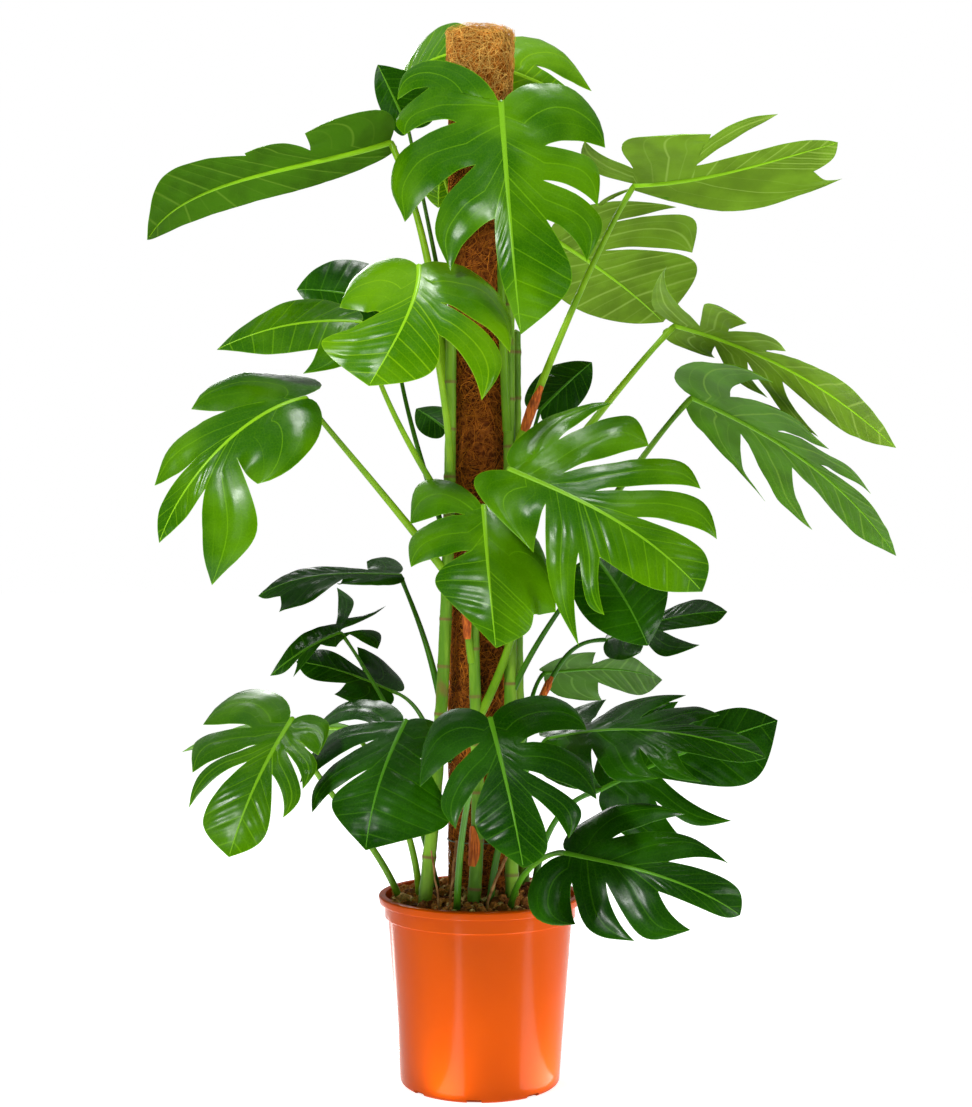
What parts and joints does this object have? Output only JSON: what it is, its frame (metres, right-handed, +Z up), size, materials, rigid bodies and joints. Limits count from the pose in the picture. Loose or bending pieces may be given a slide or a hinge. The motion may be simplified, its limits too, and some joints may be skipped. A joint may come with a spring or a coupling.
{
  "type": "potted monstera",
  "caption": "Tall split-leaf climbing house plant on a coir pole, in a round tapered nursery pot filled with bark and coir mix.",
  "frame": {"origin": "middle of the pot's flat underside", "axes": "+Z up, along the coir pole; the pictured side looks along -Y"},
  "size_m": [0.972, 0.5767, 1.4515],
  "materials": {
    "pot_plastic": "gloss",
    "potting_mix": "matte",
    "coir": "matte",
    "stem_green": "satin",
    "leaf_light": "gloss",
    "leaf_mid": "gloss",
    "leaf_dark": "gloss",
    "dry_sheath": "matte",
    "root_brown": "matte",
    "tie_plastic": "matte"
  },
  "bodies": {
    "root": {"aerial_root_front": "root_brown", "aerial_root_left": "root_brown", "aerial_root_pale": "root_brown", "coir_pole": "coir", "leaf_centre_back": "leaf_dark", "leaf_centre_left": "leaf_mid", "leaf_centre_right": "leaf_mid", "leaf_crown_left": "leaf_light", "leaf_crown_right": "leaf_light", "leaf_left_drooping": "leaf_mid", "leaf_low_centre": "leaf_dark", "leaf_low_centre_left": "leaf_dark", "leaf_low_left": "leaf_mid", "leaf_low_left_back": "leaf_mid", "leaf_low_over_rim": "leaf_dark", "leaf_low_right": "leaf_dark", "leaf_low_right_back": "leaf_dark", "leaf_mid_left_flat": "leaf_dark", "leaf_mid_left_narrow": "leaf_dark", "leaf_mid_left_small": "leaf_dark", "leaf_mid_right": "leaf_dark", "leaf_mid_right_back": "leaf_dark", "leaf_right_hanging": "leaf_mid", "leaf_right_reaching": "leaf_light", "leaf_shoulder_back": "leaf_dark", "leaf_shoulder_front": "leaf_light", "leaf_shoulder_left": "leaf_mid", "leaf_small_back_left": "leaf_dark", "leaf_small_back_right": "leaf_dark", "leaf_small_top": "leaf_light", "leaf_top_front": "leaf_mid", "leaf_upper_left": "leaf_light", "leaf_upper_left_back": "leaf_dark", "leaf_upper_right": "leaf_light", "leaf_upper_right_back": "leaf_light", "plant_tie": "tie_plastic", "pot": "pot_plastic", "sheath_low": "dry_sheath", "sheath_middle": "dry_sheath", "sheath_middle_right": "dry_sheath", "sheath_upper": "dry_sheath", "soil": "potting_mix", "stem_back": "stem_green", "stem_back_right": "stem_green", "stem_front": "stem_green", "stem_left": "stem_green", "stem_right": "stem_green"}
  },
  "joints": []
}
